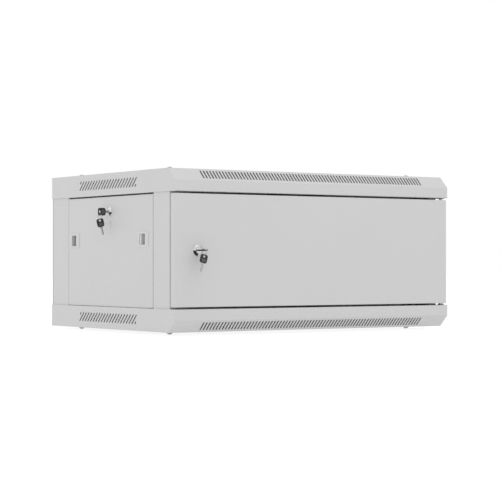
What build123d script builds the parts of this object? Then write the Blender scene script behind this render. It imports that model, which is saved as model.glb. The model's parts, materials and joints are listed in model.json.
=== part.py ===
from build123d import *
from math import cos, radians, sin, sqrt
import os

os.makedirs("parts", exist_ok=True)

# A wall mounted network cabinet for four units of rack equipment, in millimetres.
# X runs to the right, Y from the front to the wall and Z up. The origin is on the back face,
# at the centre of the four wall holes, so the front lies at Y = -depth.

# Overall size
width = 600.0
depth = 450.0
height = 281.0

# Sheet thickness and clearances
cover_sheet = 1.5
post_sheet = 1.5
rear_sheet = 1.5
door_sheet = 1.2
side_sheet = 1.2
rail_sheet = 2.0
fold_radius = 1.4
seat_gap = 0.3
running_gap = 0.05
thread_gap = 0.05

# Covers: one folded part, used upright as the top and turned over as the bottom
cover_height = 40.0
bevel = 20.5
beak_ledge = 17.0
beak_lip = 9.0
side_ledge = 23.1
side_lip = 11.5
bevel_slot_length = 19.5
bevel_slot_width = 3.2
bevel_slot_pitch = 6.46
bevel_slot_count = 75
side_slot_length = 23.5
side_slot_width = 3.2
side_slot_pitch = 10.17
side_slot_count = 20
side_slot_angle = 45.0
side_slot_stub = 6.5
side_slots_behind_middle = 9.0
fan_behind_middle = 10.0
fan_radius = 56.0
fan_slot_width = 4.0
fan_slot_pitch = 9.0
fan_web = 7.0
fan_hole_spacing = 105.0
fan_hole_radius = 2.25
cable_hole_length = 250.0
cable_hole_width = 50.0
cable_hole_corner = 6.0
cable_hole_from_wall = 62.0

# Dome head screws that hold the covers
dome_radius = 6.25
dome_height = 5.6
dome_shank_radius = 2.9
dome_shank_length = 9.0
dome_from_web = 16.5
dome_from_front = 78.0
dome_from_wall = 51.0
hole_clearance = 0.3

# Posts
post_setback = 20.0
front_post_side = 55.0
front_post_leg = 28.0
front_rebate = 18.0
hinge_notch_width = 10.0
hinge_notch_depth = 15.0
hinge_notch_height = 8.0
rear_post_side = 64.0
rear_post_leg = 42.0
rear_rebate = 9.0

# Side panels
side_panel_depth = 12.0
side_panel_lip = 8.0
side_panel_end_gap = 0.8
side_panel_foot_gap = 0.3
side_panel_head_gap = 2.5

# Depth rails and rack rails
depth_rail_height = 36.0
depth_rail_flange = 25.5
depth_rail_slot = 80.0
depth_rail_slot_width = 6.6
rail_from_side = 53.5
rack_rail_face = 22.0
rack_rail_depth = 30.0
rack_rail_end_gap = 3.0
rack_units = 4
unit_height = 44.45
unit_holes = (6.35, 22.225, 38.1)
rack_hole_inset = 8.05
rack_hole_side = 9.5
front_rail_from_front = 70.0
rear_rail_from_wall = 100.0
rail_screw_from_face = 18.0
end_screw_from_web = 18.5

# Pan head screws inside the frame
pan_radius = 4.5
pan_height = 3.0
pan_shank_radius = 2.5
rack_screw_length = 9.0
end_screw_length = 8.0
blank_screw_length = 6.0

# Rear panel
wall_hole_spacing_x = 400.0
wall_hole_spacing_z = 150.0
wall_hole_radius = 4.5
rear_flange = 12.0
rear_flange_from_side = 60.0
rear_window_length = 200.0
rear_window_height = 50.0
rear_window_corner = 6.0
rear_window_z = 40.0

# Cable blanks
blank_overlap = 11.0
blank_screw_inset = 5.0

# Earth stud
earth_from_side = 120.0
earth_from_wall = 110.0
earth_radius = 3.0
earth_length = 16.0
earth_collar_radius = 5.5
earth_collar_height = 2.0

# Door
door_front_gap = 0.5
door_depth = 16.0
door_side_gap = 2.0
door_end_gap = 3.5
door_lip = 11.0
door_edge_radius = 1.2
stiffener_width = 70.0
stiffener_crown = 40.0
stiffener_depth = 11.0
stiffener_end_gap = 7.0

# Door hinge pins, brackets and bushes
hinge_from_side = 9.0
hinge_from_front = 8.5
pin_radius = 3.0
pin_collar_radius = 4.8
pin_collar_height = 2.0
bush_hole_radius = 5.0
bush_flange_radius = 6.5
bush_flange = 1.0
bush_length = 3.5
bracket_sheet = 1.5
bracket_width = 11.0
bracket_reach = 11.0
upper_bracket_height = 40.0
lower_bracket_height = 20.0
pin_travel = 9.0
pin_handle = 16.0
pin_handle_drop = 6.0
pin_engagement = 5.0
spring_wire = 0.45
spring_radius = 4.0
spring_turns = 7

# Door buffers on the left front post
buffer_radius = 5.0
buffer_from_side = 20.0
buffer_from_end = 27.0

# Cam locks, the same on the door and on both side panels
bezel_radius = 9.8
bezel_height = 3.2
bezel_chamfer = 1.0
barrel_radius = 8.0
barrel_length = 21.5
lock_nut_width = 22.0
lock_nut_height = 4.0
plug_radius = 5.6
plug_tail = 1.5
keyway_width = 5.6
keyway_height = 2.4
keyway_depth = 14.0
cam_length = 36.0
cam_width = 14.0
cam_thickness = 2.0
cam_stud_radius = 3.0
cam_cap_radius = 5.0
cam_cap_height = 3.0
door_lock_from_side = 46.6
side_lock_below_skirt = 29.9

# Keys
blade_width = 5.0
blade_thickness = 1.9
blade_tip = 7.4
bow_start = 7.6
bow_length = 15.0
bow_width = 13.8
bow_thickness = 2.6
bow_corner = 3.5
bow_recess = 0.4
bow_field_width = 8.6
bow_field_length = 6.2
bow_field_corner = 2.0
eye_length = 7.0
eye_height = 3.5
eye_from_end = 3.4
eye_corner = 0.8
ring_radius = 6.0
ring_wire = 0.45
spare_tilt = 15.0
door_ring_reach = 4.5
door_ring_shift = 2.1
door_ring_drop = 3.4
side_ring_drop = 8.8
spare_hang = 1.2

# Slide latches of the side panels
latch_z = 20.0
front_latch_from_front = 111.5
rear_latch_from_wall = 88.5
latch_plate_length = 40.0
latch_plate_height = 26.6
latch_plate = 0.8
latch_body_length = 30.0
latch_body_height = 22.0
latch_wall = 1.5
latch_window = 19.6
latch_floor = 5.9
latch_slide_gap = 0.2
latch_travel = 5.5
latch_tongue_height = 12.0
latch_tongue = 2.0
latch_grip = 5.0
latch_grip_height = 5.4
latch_pocket_depth = 4.0
latch_rib = 2.0

# Places worked out from the sizes above
front_y = -depth
top_z = height / 2
cover_in_z = top_z - cover_sheet
skirt_z = top_z - cover_height
inset = cover_sheet + seat_gap
post_front_y = front_y + post_setback
panel_front_y = post_front_y + front_post_side
panel_rear_y = -rear_post_side
rebate_in = inset + side_panel_depth + seat_gap + post_sheet / 2
lip_in = side_ledge - cover_sheet / 2
web_in = rail_from_side
dome_in = web_in - dome_from_web
end_screw_in = web_in - end_screw_from_web
rack_hole_in = web_in + rack_rail_face - rack_hole_inset
rail_outer_in = web_in - depth_rail_flange
rail_mid_z = cover_in_z - depth_rail_height / 2
rail_rear_y = -(rear_sheet + post_sheet)
rail_front_y = post_front_y + post_sheet
hinge_x = width / 2 - hinge_from_side
hinge_y = front_y + hinge_from_front
door_front_y = front_y + door_front_gap
door_back_y = door_front_y + door_depth
door_top_z = skirt_z - door_end_gap
door_inner_y = door_front_y + door_sheet
door_inner_z = door_top_z - door_sheet
fan_y = front_y / 2 + fan_behind_middle
side_slots_y = front_y / 2 + side_slots_behind_middle
cable_y = -cable_hole_from_wall
front_rail_y = front_y + front_rail_from_front
rear_rail_y = -rear_rail_from_wall
side_lock_y = (panel_front_y + panel_rear_y) / 2
side_lock_z = skirt_z - side_lock_below_skirt
buffer_z = door_top_z - buffer_from_end
stiffener_length = 2 * (door_top_z - stiffener_end_gap)
eye_z = bow_start + bow_length - eye_from_end
pin_top_z = skirt_z + cover_sheet + pin_engagement

rail_ends = [(side, level) for side in (-1, 1) for level in (1, -1)]
side_names = {-1: "left", 1: "right"}
level_names = {1: "upper", -1: "lower"}


def side_x(side, distance):
    """X of a point that lies a distance in from the left (-1) or right (1) side."""
    return side * (width / 2 - distance)


def save(piece, name):
    piece.part.label = name
    export_step(piece.part, f"parts/{name}.step")


def folded(points, sheet):
    """Section of a folded sheet whose middle line runs through the points."""
    with BuildSketch() as section:
        with BuildLine():
            FilletPolyline(*points, radius=fold_radius)
        trace(line_width=sheet)
    return section.sketch


def tray(plane, length, breadth, tray_depth, sheet, lip, edge_radius):
    """Panel folded back on all four sides, with a lip turned in along its rear edge."""
    with BuildPart() as pan:
        with BuildSketch(plane):
            Rectangle(length, breadth)
        extrude(amount=-tray_depth)
        fillet(pan.faces().sort_by(Axis(plane.origin, plane.z_dir))[-1].edges(), radius=edge_radius)
        with BuildSketch(plane.offset(-sheet)):
            Rectangle(length - 2 * sheet, breadth - 2 * sheet)
        extrude(amount=-(tray_depth - 2 * sheet), mode=Mode.SUBTRACT)
        with BuildSketch(plane.offset(-tray_depth)):
            Rectangle(length - 2 * lip, breadth - 2 * lip)
        extrude(amount=sheet, mode=Mode.SUBTRACT)
    return pan.part


def round_screw(head_radius, head_height, shank_radius, shank_length):
    """Screw that stands on the origin, head up, with a domed head and a plain shank."""
    with BuildPart() as screw:
        with BuildSketch(Plane.XZ):
            with BuildLine():
                Line((0, 0), (head_radius, 0))
                RadiusArc(
                    (head_radius, 0),
                    (0, head_height),
                    -(head_radius**2 + head_height**2) / (2 * head_height),
                )
                Line((0, head_height), (0, 0))
            make_face()
        revolve(axis=Axis.Z)
        with BuildSketch():
            Circle(shank_radius)
        extrude(amount=-shank_length)
    return screw.part


# Covers

skirt_outline = [
    (0, top_z),
    (front_y + bevel, top_z),
    (front_y, top_z - bevel),
    (front_y, skirt_z),
    (0, skirt_z),
]
half = cover_sheet / 2
fold_shift = half * (sqrt(2) - 1)
main_line = [
    (0, top_z - half),
    (front_y + bevel + fold_shift, top_z - half),
    (front_y + half, top_z - bevel - fold_shift),
    (front_y + half, skirt_z + half),
    (front_y + beak_ledge - half, skirt_z + half),
    (front_y + beak_ledge - half, skirt_z + beak_lip),
]
bevel_plane = Plane(
    origin=(0, front_y + bevel / 2, top_z - bevel / 2), x_dir=(1, 0, 0), z_dir=(0, -1, 1)
)
ledge_front_y = panel_front_y + front_rebate + 1.0
ledge_rear_y = panel_rear_y - rear_rebate - 1.0
stub_shift = (side_slot_length - side_slot_stub) / 2
stub_x = (side_slot_count + 1) / 2 * side_slot_pitch - stub_shift * cos(radians(side_slot_angle))
stub_y = stub_shift * sin(radians(side_slot_angle))

with BuildPart() as top_cover:
    with BuildSketch(Plane.YZ.offset(-width / 2)):
        add(folded(main_line, cover_sheet))
    extrude(amount=width)
    for side in (-1, 1):
        with BuildSketch(Plane.YZ.offset(side * width / 2)) as skirt:
            Polygon(*skirt_outline, align=None)
            fillet(
                [v for v in skirt.vertices() if v.Y < front_y + bevel + half and v.Z > skirt_z + half],
                radius=fold_radius + half,
            )
        extrude(amount=-side * cover_sheet)
        # ledge under the skirt, turned up at its inner edge where the lock cam catches
        with BuildSketch(Plane.XZ.offset(-ledge_rear_y)):
            add(
                folded(
                    [
                        (side_x(side, half), skirt_z + 3 * fold_radius),
                        (side_x(side, half), skirt_z + half),
                        (side_x(side, lip_in), skirt_z + half),
                        (side_x(side, lip_in), skirt_z + side_lip),
                    ],
                    cover_sheet,
                )
            )
        extrude(amount=ledge_rear_y - ledge_front_y)
    # cooling slots across the front bevel
    with BuildSketch(bevel_plane):
        with GridLocations(bevel_slot_pitch, 0, bevel_slot_count, 1):
            Rectangle(bevel_slot_width, bevel_slot_length)
    extrude(amount=-2 * cover_sheet, mode=Mode.SUBTRACT)
    # slanted cooling slots in both skirts, cut short at the ends of their field
    for side in (-1, 1):
        skirt_plane = Plane(
            origin=(side * width / 2, side_slots_y, top_z - cover_height / 2),
            x_dir=(0, side, 0),
            z_dir=(side, 0, 0),
        )
        with BuildSketch(skirt_plane):
            with GridLocations(side_slot_pitch, 0, side_slot_count, 1):
                Rectangle(side_slot_length, side_slot_width, rotation=side_slot_angle)
            with Locations((stub_x, -stub_y), (-stub_x, stub_y)):
                Rectangle(side_slot_stub, side_slot_width, rotation=side_slot_angle)
        extrude(amount=-2 * cover_sheet, mode=Mode.SUBTRACT)
    # fan grille with four screw holes, cable opening, screw holes
    with BuildSketch(Plane.XY.offset(top_z)):
        reach = int(fan_radius / fan_slot_pitch)
        for step in range(-reach, reach + 1):
            chord = 2 * sqrt(fan_radius**2 - (step * fan_slot_pitch) ** 2)
            with Locations((step * fan_slot_pitch, fan_y)):
                Rectangle(fan_slot_width, chord)
        with Locations((0, fan_y)):
            Rectangle(3 * fan_radius, fan_web, mode=Mode.SUBTRACT)
            with GridLocations(fan_hole_spacing, fan_hole_spacing, 2, 2):
                Circle(fan_hole_radius)
        with Locations((0, cable_y)):
            RectangleRounded(cable_hole_length, cable_hole_width, cable_hole_corner)
            with GridLocations(cable_hole_length + 2 * blank_screw_inset, 0, 2, 1):
                Circle(pan_shank_radius + thread_gap)
        for x in (side_x(-1, dome_in), side_x(1, dome_in)):
            with Locations((x, front_y + dome_from_front), (x, -dome_from_wall)):
                Circle(dome_shank_radius + hole_clearance)
    extrude(amount=-2 * cover_sheet, mode=Mode.SUBTRACT)
    # hinge holes at both ends of the beak, so that the door can hang on either side
    with BuildSketch(Plane.XY.offset(skirt_z)):
        with Locations((hinge_x, hinge_y), (-hinge_x, hinge_y)):
            Circle(bush_hole_radius)
    extrude(amount=2 * cover_sheet, mode=Mode.SUBTRACT)
save(top_cover, "top_cover")

with BuildPart() as bottom_cover:
    add(top_cover.part, rotation=(0, 180, 0))
save(bottom_cover, "bottom_cover")

dome_screw = round_screw(dome_radius, dome_height, dome_shank_radius, dome_shank_length)
dome_places = [
    (side_x(side, dome_in), y)
    for side in (-1, 1)
    for y in (front_y + dome_from_front, -dome_from_wall)
]
with BuildPart() as cover_screws:
    with Locations(*[(x, y, top_z) for x, y in dome_places]):
        add(dome_screw)
    with Locations(*[(x, y, -top_z) for x, y in dome_places]):
        add(dome_screw, rotation=(180, 0, 0))
save(cover_screws, "cover_screws")


# Posts


def front_post(side):
    post_half = post_sheet / 2
    section = folded(
        [
            (side_x(side, front_post_leg), post_front_y + post_half),
            (side_x(side, inset + post_half), post_front_y + post_half),
            (side_x(side, inset + post_half), panel_front_y - post_half),
            (side_x(side, rebate_in), panel_front_y - post_half),
            (side_x(side, rebate_in), panel_front_y + front_rebate),
        ],
        post_sheet,
    )
    with BuildPart() as post:
        with BuildSketch(Plane.XY.offset(-cover_in_z)):
            add(section)
        extrude(amount=2 * cover_in_z)
        # front edge cut back at both ends, clear of the inside of the covers' bevels
        for level in (1, -1):
            with BuildSketch(Plane.XY.offset(level * cover_in_z)):
                with Locations((side_x(side, web_in / 2), post_front_y + post_half)):
                    Rectangle(web_in, post_sheet)
            extrude(amount=-level * post_sheet, mode=Mode.SUBTRACT)
        # wide ends behind the beaks, to which the depth rails are screwed
        end_width = web_in - inset - fold_radius
        end_height = depth_rail_height - post_sheet
        end_x = side_x(side, inset + fold_radius + end_width / 2)
        end_z = cover_in_z - depth_rail_height + end_height / 2
        with BuildSketch(Plane.XZ.offset(-post_front_y)):
            for level in (1, -1):
                with Locations((end_x, level * end_z)):
                    Rectangle(end_width, end_height)
        extrude(amount=-post_sheet)
        with BuildSketch(Plane.XZ.offset(-post_front_y)):
            for level in (1, -1):
                with Locations((side_x(side, end_screw_in), level * rail_mid_z)):
                    Circle(pan_shank_radius + thread_gap)
        extrude(amount=-2 * post_sheet, mode=Mode.SUBTRACT)
        # notches in the corner beside the door's hinges, which keep the pins in sight
        if side > 0:
            with BuildSketch(Plane.XZ.offset(-post_front_y)):
                for level in (1, -1):
                    with Locations((side_x(side, inset + hinge_notch_width / 2), level * door_top_z)):
                        Rectangle(hinge_notch_width, hinge_notch_height)
            extrude(amount=-hinge_notch_depth, mode=Mode.SUBTRACT)
    return post


def rear_post(side):
    post_half = post_sheet / 2
    section = folded(
        [
            (side_x(side, rear_post_leg), -rear_sheet - post_half),
            (side_x(side, inset + post_half), -rear_sheet - post_half),
            (side_x(side, inset + post_half), panel_rear_y + post_half),
            (side_x(side, rebate_in), panel_rear_y + post_half),
            (side_x(side, rebate_in), panel_rear_y - rear_rebate),
        ],
        post_sheet,
    )
    with BuildPart() as post:
        with BuildSketch(Plane.XY.offset(-cover_in_z)):
            add(section)
        extrude(amount=2 * cover_in_z)
        with BuildSketch(Plane.XZ.offset(rear_sheet)):
            for level in (1, -1):
                with Locations((side_x(side, end_screw_in), level * rail_mid_z)):
                    Circle(pan_shank_radius + thread_gap)
        extrude(amount=2 * post_sheet, mode=Mode.SUBTRACT)
    return post


for side, side_name in side_names.items():
    save(front_post(side), f"front_{side_name}_post")
    save(rear_post(side), f"rear_{side_name}_post")


# Depth rails: channels that open outwards, with end tabs screwed to the posts

depth_rail_slots = [
    front_rail_y + rail_screw_from_face,
    (front_rail_y + rear_rail_y) / 2,
    rear_rail_y - rail_screw_from_face,
]


def depth_rail(side, level):
    rail_half = post_sheet / 2
    section = folded(
        [
            (side_x(side, rail_outer_in), level * (cover_in_z - rail_half)),
            (side_x(side, web_in - rail_half), level * (cover_in_z - rail_half)),
            (side_x(side, web_in - rail_half), level * (cover_in_z - depth_rail_height + rail_half)),
            (side_x(side, rail_outer_in), level * (cover_in_z - depth_rail_height + rail_half)),
        ],
        post_sheet,
    )
    tab_x = side_x(side, (rail_outer_in + web_in) / 2)
    with BuildPart() as rail:
        with BuildSketch(Plane.XZ.offset(-rail_rear_y)):
            add(section)
        extrude(amount=rail_rear_y - rail_front_y)
        for tab_y in (rail_rear_y, rail_front_y + post_sheet):
            with BuildSketch(Plane.XZ.offset(-tab_y)):
                with Locations((tab_x, level * rail_mid_z)):
                    Rectangle(depth_rail_flange - 2 * fold_radius, depth_rail_height - 2 * fold_radius)
                with Locations((side_x(side, end_screw_in), level * rail_mid_z)):
                    Circle(pan_shank_radius + thread_gap, mode=Mode.SUBTRACT)
            extrude(amount=post_sheet)
        # slots in the web, in which the rack rails are set forward or back
        with BuildSketch(Plane.YZ.offset(side_x(side, web_in))):
            for slot_y in depth_rail_slots:
                with Locations((slot_y, level * rail_mid_z)):
                    SlotOverall(depth_rail_slot, depth_rail_slot_width)
        extrude(amount=side * 2 * post_sheet, mode=Mode.SUBTRACT)
        with BuildSketch(Plane.XY.offset(level * cover_in_z)):
            for y in (front_y + dome_from_front, -dome_from_wall):
                with Locations((side_x(side, dome_in), y)):
                    Circle(dome_shank_radius + thread_gap)
        extrude(amount=-level * 2 * post_sheet, mode=Mode.SUBTRACT)
    return rail


for side, level in rail_ends:
    save(depth_rail(side, level), f"{side_names[side]}_{level_names[level]}_depth_rail")


# Rack rails with square holes at the standard spacing


def rack_rail(side, face_y, facing):
    rail_half = rail_sheet / 2
    middle_y = face_y - facing * rail_half
    section = folded(
        [
            (side_x(side, web_in + rail_half), face_y - facing * rack_rail_depth),
            (side_x(side, web_in + rail_half), middle_y),
            (side_x(side, web_in + rack_rail_face), middle_y),
        ],
        rail_sheet,
    )
    rail_top_z = cover_in_z - rack_rail_end_gap
    first_z = -rack_units * unit_height / 2
    with BuildPart() as rail:
        with BuildSketch(Plane.XY.offset(-rail_top_z)):
            add(section)
        extrude(amount=2 * rail_top_z)
        with BuildSketch(Plane.XZ.offset(-middle_y)):
            for unit in range(rack_units):
                for hole_z in unit_holes:
                    with Locations((side_x(side, rack_hole_in), first_z + unit * unit_height + hole_z)):
                        Rectangle(rack_hole_side, rack_hole_side)
        extrude(amount=rail_sheet, both=True, mode=Mode.SUBTRACT)
        with BuildSketch(Plane.YZ.offset(side_x(side, web_in))):
            for level in (1, -1):
                with Locations((face_y - facing * rail_screw_from_face, level * rail_mid_z)):
                    Circle(pan_shank_radius + hole_clearance)
        extrude(amount=-side * 2 * rail_sheet, mode=Mode.SUBTRACT)
    return rail


for side, side_name in side_names.items():
    save(rack_rail(side, front_rail_y, -1), f"front_{side_name}_rack_rail")
    save(rack_rail(side, rear_rail_y, 1), f"rear_{side_name}_rack_rail")

rack_screw = round_screw(pan_radius, pan_height, pan_shank_radius, rack_screw_length)
end_screw = round_screw(pan_radius, pan_height, pan_shank_radius, end_screw_length)
rear_end_screw = round_screw(pan_radius, pan_height, pan_shank_radius, 2 * post_sheet - running_gap)
rack_screw_y = (front_rail_y + rail_screw_from_face, rear_rail_y - rail_screw_from_face)
with BuildPart() as frame_screws:
    for side, level in rail_ends:
        head_x = side_x(side, web_in + rail_sheet)
        with Locations(*[(head_x, y, level * rail_mid_z) for y in rack_screw_y]):
            add(rack_screw, rotation=(0, -side * 90, 0))
        end_x = side_x(side, end_screw_in)
        with Locations((end_x, post_front_y, level * rail_mid_z)):
            add(end_screw, rotation=(90, 0, 0))
        with Locations((end_x, rail_rear_y - post_sheet, level * rail_mid_z)):
            add(rear_end_screw, rotation=(90, 0, 0))
save(frame_screws, "frame_screws")


# Rear panel, flat against the wall, with the four wall holes and the cable window

with BuildPart() as rear_panel:
    with BuildSketch(Plane.XZ):
        Rectangle(width - 2 * inset, 2 * cover_in_z)
        with GridLocations(wall_hole_spacing_x, wall_hole_spacing_z, 2, 2):
            Circle(wall_hole_radius, mode=Mode.SUBTRACT)
        with Locations((0, rear_window_z)):
            RectangleRounded(
                rear_window_length, rear_window_height, rear_window_corner, mode=Mode.SUBTRACT
            )
    extrude(amount=rear_sheet)
    for level in (1, -1):
        with BuildSketch(Plane.XY.offset(level * cover_in_z)):
            with Locations((0, -rear_flange / 2)):
                Rectangle(width - 2 * rear_flange_from_side, rear_flange)
        extrude(amount=-level * rear_sheet)
save(rear_panel, "rear_panel")


# Blanks that close the cable openings of the covers, and their screws

blank_screw = round_screw(pan_radius, pan_height, pan_shank_radius, blank_screw_length)


def cable_blank(level):
    with BuildPart() as blank:
        with BuildSketch(Plane.XY.offset(level * cover_in_z)):
            with Locations((0, cable_y)):
                RectangleRounded(
                    cable_hole_length + 2 * blank_overlap,
                    cable_hole_width + 2 * blank_overlap,
                    cable_hole_corner,
                )
                with GridLocations(cable_hole_length + 2 * blank_screw_inset, 0, 2, 1):
                    Circle(pan_shank_radius + thread_gap, mode=Mode.SUBTRACT)
        extrude(amount=-level * rear_sheet)
    return blank


save(cable_blank(1), "top_cable_blank")
save(cable_blank(-1), "bottom_cable_blank")

blank_screw_x = cable_hole_length / 2 + blank_screw_inset
with BuildPart() as blank_screws:
    with Locations((-blank_screw_x, cable_y, top_z), (blank_screw_x, cable_y, top_z)):
        add(blank_screw)
    with Locations((-blank_screw_x, cable_y, -top_z), (blank_screw_x, cable_y, -top_z)):
        add(blank_screw, rotation=(180, 0, 0))
save(blank_screws, "blank_screws")


# Earth stud, welded to the bottom cover

with BuildPart() as earth_stud:
    with BuildSketch(Plane.XY.offset(-cover_in_z)):
        with Locations((side_x(1, earth_from_side), -earth_from_wall)):
            Circle(earth_radius)
    extrude(amount=earth_length)
    with BuildSketch(Plane.XY.offset(-cover_in_z)):
        with Locations((side_x(1, earth_from_side), -earth_from_wall)):
            Circle(earth_collar_radius)
    extrude(amount=earth_collar_height)
    chamfer(earth_stud.faces().sort_by(Axis.Z)[-1].edges(), length=earth_radius / 4)
save(earth_stud, "earth_stud")


# Plastic hinge bushes in the two beaks and rubber buffers behind the door

with BuildPart() as hinge_bushes:
    for level in (1, -1):
        with BuildSketch(Plane.XY.offset(level * (skirt_z - bush_flange))):
            with Locations((hinge_x, hinge_y)):
                Circle(bush_flange_radius)
        extrude(amount=level * bush_flange)
        with BuildSketch(Plane.XY.offset(level * skirt_z)):
            with Locations((hinge_x, hinge_y)):
                Circle(bush_hole_radius - running_gap)
        extrude(amount=level * bush_length)
        with BuildSketch(Plane.XY.offset(level * (skirt_z - bush_flange))):
            with Locations((hinge_x, hinge_y)):
                Circle(pin_radius + running_gap)
        extrude(amount=level * (bush_flange + bush_length), mode=Mode.SUBTRACT)
save(hinge_bushes, "hinge_bushes")

with BuildPart() as door_buffers:
    with BuildSketch(Plane.XZ.offset(-post_front_y)):
        with Locations(
            (side_x(-1, buffer_from_side), buffer_z), (side_x(-1, buffer_from_side), -buffer_z)
        ):
            Circle(buffer_radius)
    extrude(amount=post_front_y - door_back_y - seat_gap)
save(door_buffers, "door_buffers")


# Door

door_plane = Plane(origin=(0, door_front_y, 0), x_dir=(1, 0, 0), z_dir=(0, -1, 0))
door_lock_plane = Plane(
    origin=(side_x(-1, door_lock_from_side), door_front_y, 0), x_dir=(1, 0, 0), z_dir=(0, -1, 0)
)
door_tray = tray(
    door_plane,
    width - 2 * door_side_gap,
    2 * door_top_z,
    door_depth,
    door_sheet,
    door_lip,
    door_edge_radius,
)
with BuildPart() as door_panel:
    add(door_tray)
    with BuildSketch(door_lock_plane):
        Circle(barrel_radius + hole_clearance)
    extrude(amount=-2 * door_sheet, mode=Mode.SUBTRACT)
    with BuildSketch(Plane.XY.offset(-height)):
        with Locations((hinge_x, hinge_y)):
            Circle(pin_radius + running_gap)
    extrude(amount=2 * height, mode=Mode.SUBTRACT)
save(door_panel, "door_panel")

with BuildPart() as door_stiffener:
    foot_y = door_inner_y + door_sheet / 2
    crown_y = foot_y + stiffener_depth
    with BuildSketch(Plane.XY.offset(-stiffener_length / 2)):
        add(
            folded(
                [
                    (-stiffener_width / 2, foot_y),
                    (-stiffener_crown / 2 - stiffener_depth / 4, foot_y),
                    (-stiffener_crown / 2, crown_y),
                    (stiffener_crown / 2, crown_y),
                    (stiffener_crown / 2 + stiffener_depth / 4, foot_y),
                    (stiffener_width / 2, foot_y),
                ],
                door_sheet,
            )
        )
    extrude(amount=stiffener_length)
save(door_stiffener, "door_stiffener")


# Hinge brackets, pins and spring at the right edge of the door


def hinge_bracket(level, bracket_height):
    """U-shaped bracket on the inside of the door skin, with an ear above and below."""
    sheet_half = bracket_sheet / 2
    back_y = door_inner_y + sheet_half
    ear_y = door_inner_y + bracket_reach
    outer_z = level * (door_inner_z - sheet_half)
    inner_z = level * (door_inner_z - bracket_height + sheet_half)
    with BuildPart() as bracket:
        with BuildSketch(Plane.YZ.offset(hinge_x - bracket_width / 2)):
            add(
                folded(
                    [(ear_y, outer_z), (back_y, outer_z), (back_y, inner_z), (ear_y, inner_z)],
                    bracket_sheet,
                )
            )
        extrude(amount=bracket_width)
        with BuildSketch(Plane.XY.offset(-height)):
            with Locations((hinge_x, hinge_y)):
                Circle(pin_radius + running_gap)
        extrude(amount=2 * height, mode=Mode.SUBTRACT)
    return bracket


save(hinge_bracket(1, upper_bracket_height), "upper_hinge_bracket")
save(hinge_bracket(-1, lower_bracket_height), "lower_hinge_bracket")

ear_inner_z = door_inner_z - bracket_sheet
upper_ear_z = door_inner_z - upper_bracket_height
handle_z = upper_ear_z - pin_handle_drop
collar_top_z = ear_inner_z - running_gap
with BuildPart() as upper_hinge_pin:
    with BuildSketch(Plane.XY.offset(handle_z)):
        with Locations((hinge_x, hinge_y)):
            Circle(pin_radius)
    extrude(amount=pin_top_z - handle_z)
    chamfer(upper_hinge_pin.faces().sort_by(Axis.Z)[-1].edges(), length=pin_radius / 4)
    with BuildSketch(Plane.XY.offset(collar_top_z)):
        with Locations((hinge_x, hinge_y)):
            Circle(pin_collar_radius)
    extrude(amount=-pin_collar_height)
    with BuildSketch(Plane.YZ.offset(hinge_x - pin_handle)):
        with Locations((hinge_y, handle_z)):
            Circle(pin_radius)
    extrude(amount=pin_handle)
    with Locations((hinge_x, hinge_y, handle_z)):
        Sphere(pin_radius)
save(upper_hinge_pin, "upper_hinge_pin")

lower_collar_z = skirt_z - bush_flange - running_gap
with BuildPart() as lower_hinge_pin:
    with BuildSketch(Plane.XY.offset(-pin_top_z)):
        with Locations((hinge_x, hinge_y)):
            Circle(pin_radius)
    extrude(amount=pin_top_z - door_inner_z + lower_bracket_height + pin_radius)
    with BuildSketch(Plane.XY.offset(-lower_collar_z)):
        with Locations((hinge_x, hinge_y)):
            Circle(pin_collar_radius)
    extrude(amount=lower_collar_z - door_top_z)
    chamfer(lower_hinge_pin.faces().sort_by(Axis.Z)[0].edges(), length=pin_radius / 4)
save(lower_hinge_pin, "lower_hinge_pin")

spring_low_z = upper_ear_z + bracket_sheet + spring_wire + running_gap
spring_high_z = collar_top_z - pin_collar_height - spring_wire - running_gap
with BuildPart() as hinge_spring:
    with BuildLine():
        coil = Helix(
            (spring_high_z - spring_low_z) / spring_turns,
            spring_high_z - spring_low_z,
            spring_radius,
            center=(hinge_x, hinge_y, spring_low_z),
        )
    with BuildSketch(Plane(origin=coil @ 0, z_dir=coil % 0)):
        Circle(spring_wire)
    sweep(is_frenet=True)
save(hinge_spring, "hinge_spring")


# Cam locks. Each lock has a plane on the panel's outer face whose Z points out.
# At rest the cam lies along -Y of that plane, and it turns towards -X to lock.


def lock_housing(plane):
    with BuildPart() as housing:
        with BuildSketch(plane):
            Circle(bezel_radius)
        extrude(amount=bezel_height)
        rim = housing.faces().sort_by(Axis(plane.origin, plane.z_dir))[-1]
        chamfer(rim.edges(), length=bezel_chamfer)
        with BuildSketch(plane):
            Circle(barrel_radius)
        extrude(amount=-barrel_length)
        with BuildSketch(plane.offset(bezel_height)):
            Circle(plug_radius + running_gap)
        extrude(amount=-bezel_height - barrel_length, mode=Mode.SUBTRACT)
    return housing


def lock_nut(plane, sheet):
    with BuildPart() as nut:
        with BuildSketch(plane.offset(-sheet)):
            RegularPolygon(lock_nut_width / 2, 6, major_radius=False)
            Circle(barrel_radius + thread_gap, mode=Mode.SUBTRACT)
        extrude(amount=-lock_nut_height)
    return nut


def lock_plug(plane):
    with BuildPart() as plug:
        with BuildSketch(plane.offset(bezel_height)):
            Circle(plug_radius)
        extrude(amount=-bezel_height - barrel_length - seat_gap)
        with BuildSketch(plane.offset(-barrel_length - seat_gap)):
            Circle(cam_stud_radius)
        extrude(amount=-cam_thickness - plug_tail)
        with BuildSketch(plane.offset(bezel_height)):
            Rectangle(keyway_width, keyway_height)
        extrude(amount=-bezel_height - keyway_depth, mode=Mode.SUBTRACT)
    return plug


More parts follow.
